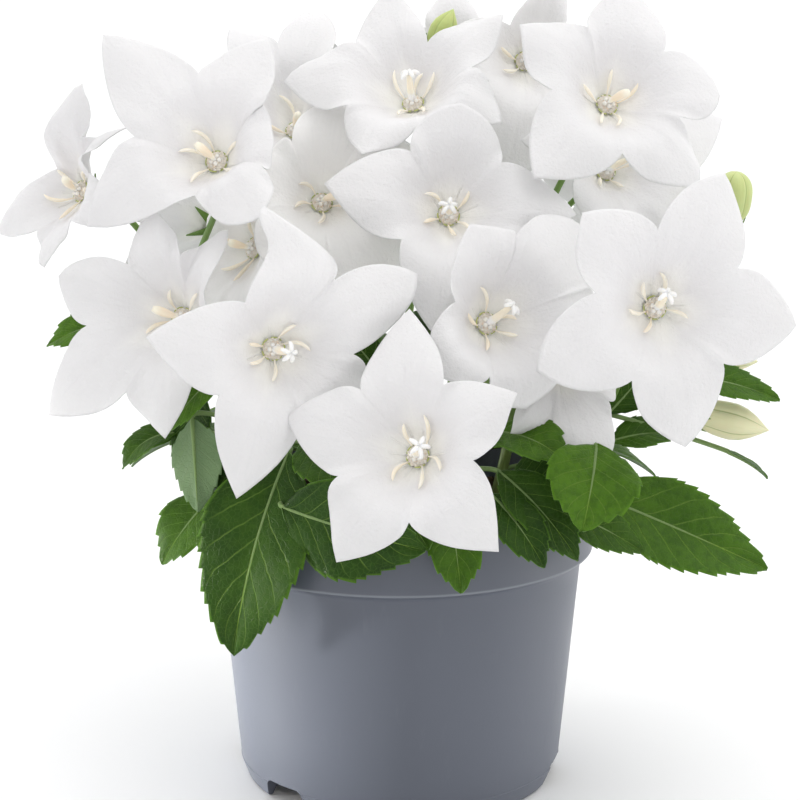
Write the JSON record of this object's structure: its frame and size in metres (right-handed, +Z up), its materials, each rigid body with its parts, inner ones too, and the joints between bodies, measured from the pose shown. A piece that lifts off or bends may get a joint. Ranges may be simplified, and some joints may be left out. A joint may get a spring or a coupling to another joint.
{
  "type": "potted balloon flower",
  "caption": "Potted balloon flower with broad star-shaped white blooms and inflated buds on leafy stems in a round plastic nursery pot filled with compost.",
  "frame": {"origin": "centre of the pot's underside, on the ground", "axes": "+Z up along the pot's axis, -Y towards the front of the plant, +X to its right as seen from the front"},
  "size_m": [0.2334, 0.2014, 0.2467],
  "materials": {
    "pot_plastic": "satin",
    "soil": "matte",
    "leaf_green": "satin",
    "petal_white": "satin",
    "bloom_centre": "matte",
    "bud_green": "satin",
    "bud_cream": "satin"
  },
  "bodies": {
    "root": {"bud_lowRight": "bud_cream", "bud_midRight": "bud_cream", "bud_right": "bud_green", "bud_top": "bud_green", "centre_back": "bloom_centre", "centre_backLeft": "bloom_centre", "centre_backRight": "bloom_centre", "centre_backUpper": "bloom_centre", "centre_crown": "bloom_centre", "centre_farLeft": "bloom_centre", "centre_front": "bloom_centre", "centre_innerLeft": "bloom_centre", "centre_innerLowLeft": "bloom_centre", "centre_innerRight": "bloom_centre", "centre_left": "bloom_centre", "centre_leftCentre": "bloom_centre", "centre_lowRight": "bloom_centre", "centre_middle": "bloom_centre", "centre_right": "bloom_centre", "centre_top": "bloom_centre", "centre_topBehind": "bloom_centre", "centre_underUpperRight": "bloom_centre", "centre_upperLeft": "bloom_centre", "centre_upperLeftBehind": "bloom_centre", "centre_upperRight": "bloom_centre", "petals_back": "petal_white", "petals_backLeft": "petal_white", "petals_backRight": "petal_white", "petals_backUpper": "petal_white", "petals_crown": "petal_white", "petals_farLeft": "petal_white", "petals_front": "petal_white", "petals_innerLeft": "petal_white", "petals_innerLowLeft": "petal_white", "petals_innerRight": "petal_white", "petals_left": "petal_white", "petals_leftCentre": "petal_white", "petals_lowRight": "petal_white", "petals_middle": "petal_white", "petals_right": "petal_white", "petals_top": "petal_white", "petals_topBehind": "petal_white", "petals_underUpperRight": "petal_white", "petals_upperLeft": "petal_white", "petals_upperLeftBehind": "petal_white", "petals_upperRight": "petal_white", "pot": "pot_plastic", "soil": "soil", "stem_back": "leaf_green", "stem_backLeft": "leaf_green", "stem_backRight": "leaf_green", "stem_front": "leaf_green", "stem_innerLeft": "leaf_green", "stem_left": "leaf_green", "stem_leftFront": "leaf_green", "stem_middle": "leaf_green", "stem_right": "leaf_green", "stem_upperRight": "leaf_green"}
  },
  "joints": []
}
